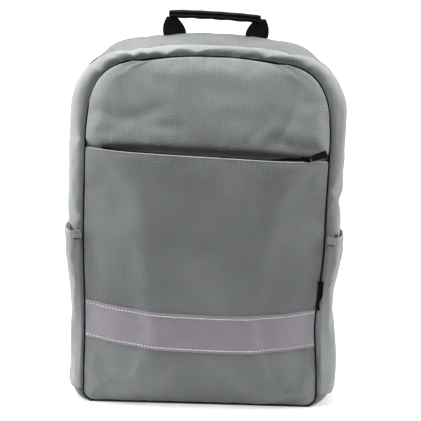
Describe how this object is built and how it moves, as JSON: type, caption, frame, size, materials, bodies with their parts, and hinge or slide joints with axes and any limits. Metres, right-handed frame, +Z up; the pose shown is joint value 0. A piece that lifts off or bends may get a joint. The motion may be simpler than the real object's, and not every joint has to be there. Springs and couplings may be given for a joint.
{
  "type": "daypack",
  "caption": "City daypack with a zipped main compartment that folds open, laptop divider, zipped front pocket, side pockets, carry handle and padded straps.",
  "frame": {"origin": "centre of the flat underside that the pack stands on", "axes": "+Z up, -Y towards the front panel, +Y towards the wearer's back, +X to the viewer's right when seen from the front"},
  "size_m": [0.3236, 0.1923, 0.433],
  "materials": {
    "shell_fabric": "woven polyester, mid grey, fine rib",
    "lining": "thin dark polyester lining",
    "band_leather": "smooth mauve-grey PU leather, white lockstitch",
    "webbing": "black ribbed webbing",
    "grip_wrap": "semi-gloss black PU wrap",
    "back_mesh": "black spacer mesh over foam",
    "zip_tape": "black knitted zip tape",
    "zip_coil": "black nylon coil",
    "slider_metal": "black lacquered zinc",
    "pull_rubber": "black moulded rubber",
    "buckle_plastic": "black moulded acetal",
    "stiffener": "thin polyethylene sheet"
  },
  "bodies": {
    "pack": {"base_panel": "shell_fabric", "base_board": "stiffener", "side_panel_left": "shell_fabric", "side_panel_right": "shell_fabric", "rear_gusset_left": "shell_fabric", "rear_gusset_right": "shell_fabric", "rear_gusset_top": "shell_fabric", "pocket_panel_lower": "shell_fabric", "pocket_back_lower": "lining", "fold_fabric": "shell_fabric", "accent_band": "band_leather", "side_label": "webbing", "side_pocket_left": "shell_fabric", "side_pocket_right": "shell_fabric", "side_pocket_hem_left": "shell_fabric", "side_pocket_hem_right": "shell_fabric", "main_zip_tape_rear": "zip_tape", "main_zip_coil_rear": "zip_coil", "zip_bartack_left": "webbing", "zip_bartack_right": "webbing", "back_panel": "back_mesh", "back_pad_left": "back_mesh", "back_pad_right": "back_mesh", "lumbar_pad": "back_mesh", "harness_yoke": "back_mesh", "laptop_divider": "lining", "strap_wing_left": "shell_fabric", "strap_wing_right": "shell_fabric", "adjuster_webbing_left": "webbing", "adjuster_webbing_right": "webbing", "handle_feet": "webbing"},
    "front_lid": {"front_gusset_left": "shell_fabric", "front_gusset_right": "shell_fabric", "front_gusset_top": "shell_fabric", "front_yoke": "shell_fabric", "pocket_panel_upper": "shell_fabric", "pocket_back_upper": "lining", "pocket_zip_tape_upper": "zip_tape", "pocket_zip_tape_lower": "zip_tape", "pocket_zip_coil_upper": "zip_coil", "pocket_zip_coil_lower": "zip_coil", "main_zip_tape_front": "zip_tape", "main_zip_coil_front": "zip_coil"},
    "main_slider_left": {"main_slider_left": "slider_metal"},
    "main_slider_right": {"main_slider_right": "slider_metal"},
    "main_pull_left": {"main_pull_left": "pull_rubber"},
    "main_pull_right": {"main_pull_right": "pull_rubber"},
    "pocket_slider": {"pocket_slider": "slider_metal"},
    "pocket_pull": {"pocket_pull": "pull_rubber"},
    "handle": {"handle_webbing": "webbing", "handle_grip": "grip_wrap"},
    "strap_left": {"shoulder_strap_left": "back_mesh", "lock_loop_left": "webbing"},
    "strap_right": {"shoulder_strap_right": "back_mesh", "lock_loop_right": "webbing"},
    "ladder_lock_left": {"ladder_lock_left": "buckle_plastic", "adjuster_tail_left": "webbing"},
    "ladder_lock_right": {"ladder_lock_right": "buckle_plastic", "adjuster_tail_right": "webbing"}
  },
  "joints": [
    {"name": "front_lid_hinge", "type": "hinge", "parent": "pack", "child": "front_lid", "pos_m": [0, -0.014, 0.226], "axis": [1, 0, 0], "range_deg": [0, 40], "deforming": ["fold_fabric", "main_zip_tape_front", "main_zip_coil_front"]},
    {"name": "main_slider_left_run", "type": "slide", "parent": "pack", "child": "main_slider_left", "axis": [0, 0, -1], "range_m": [-0.08, 0]},
    {"name": "main_slider_right_run", "type": "slide", "parent": "pack", "child": "main_slider_right", "axis": [0, 0, -1], "range_m": [-0.08, 0]},
    {"name": "main_pull_left_flip", "type": "hinge", "parent": "main_slider_left", "child": "main_pull_left", "pos_m": [-0.14815, -0.014, 0.226], "axis": [0, 1, 0], "range_deg": [0, 150]},
    {"name": "main_pull_right_flip", "type": "hinge", "parent": "main_slider_right", "child": "main_pull_right", "pos_m": [0.14815, -0.014, 0.226], "axis": [0, -1, 0], "range_deg": [0, 150]},
    {"name": "pocket_slider_run", "type": "slide", "parent": "front_lid", "child": "pocket_slider", "axis": [0.9994, 0, -0.0338], "range_m": [-0.2, 0], "deforming": ["pocket_zip_tape_upper", "pocket_zip_tape_lower", "pocket_zip_coil_upper", "pocket_zip_coil_lower"]},
    {"name": "pocket_pull_flip", "type": "hinge", "parent": "pocket_slider", "child": "pocket_pull", "pos_m": [0.107, -0.0738, 0.28428], "axis": [0.342, 0, -0.9397], "range_deg": [0, 120]},
    {"name": "handle_swing", "type": "hinge", "parent": "pack", "child": "handle", "pos_m": [0.007, 0.05, 0.4106], "axis": [1, 0, 0], "range_deg": [-70, 70]},
    {"name": "strap_left_swing", "type": "hinge", "parent": "pack", "child": "strap_left", "pos_m": [-0.046, 0.0856, 0.3805], "axis": [1, 0, 0], "range_deg": [0, 8]},
    {"name": "strap_right_swing", "type": "hinge", "parent": "pack", "child": "strap_right", "pos_m": [0.046, 0.0856, 0.3805], "axis": [1, 0, 0], "range_deg": [0, 8]},
    {"name": "ladder_lock_left_tilt", "type": "hinge", "parent": "strap_left", "child": "ladder_lock_left", "pos_m": [-0.096, 0.0881, 0.129], "axis": [1, 0, 0], "range_deg": [-6, 20]},
    {"name": "ladder_lock_right_tilt", "type": "hinge", "parent": "strap_right", "child": "ladder_lock_right", "pos_m": [0.096, 0.0881, 0.129], "axis": [1, 0, 0], "range_deg": [-6, 20]}
  ]
}
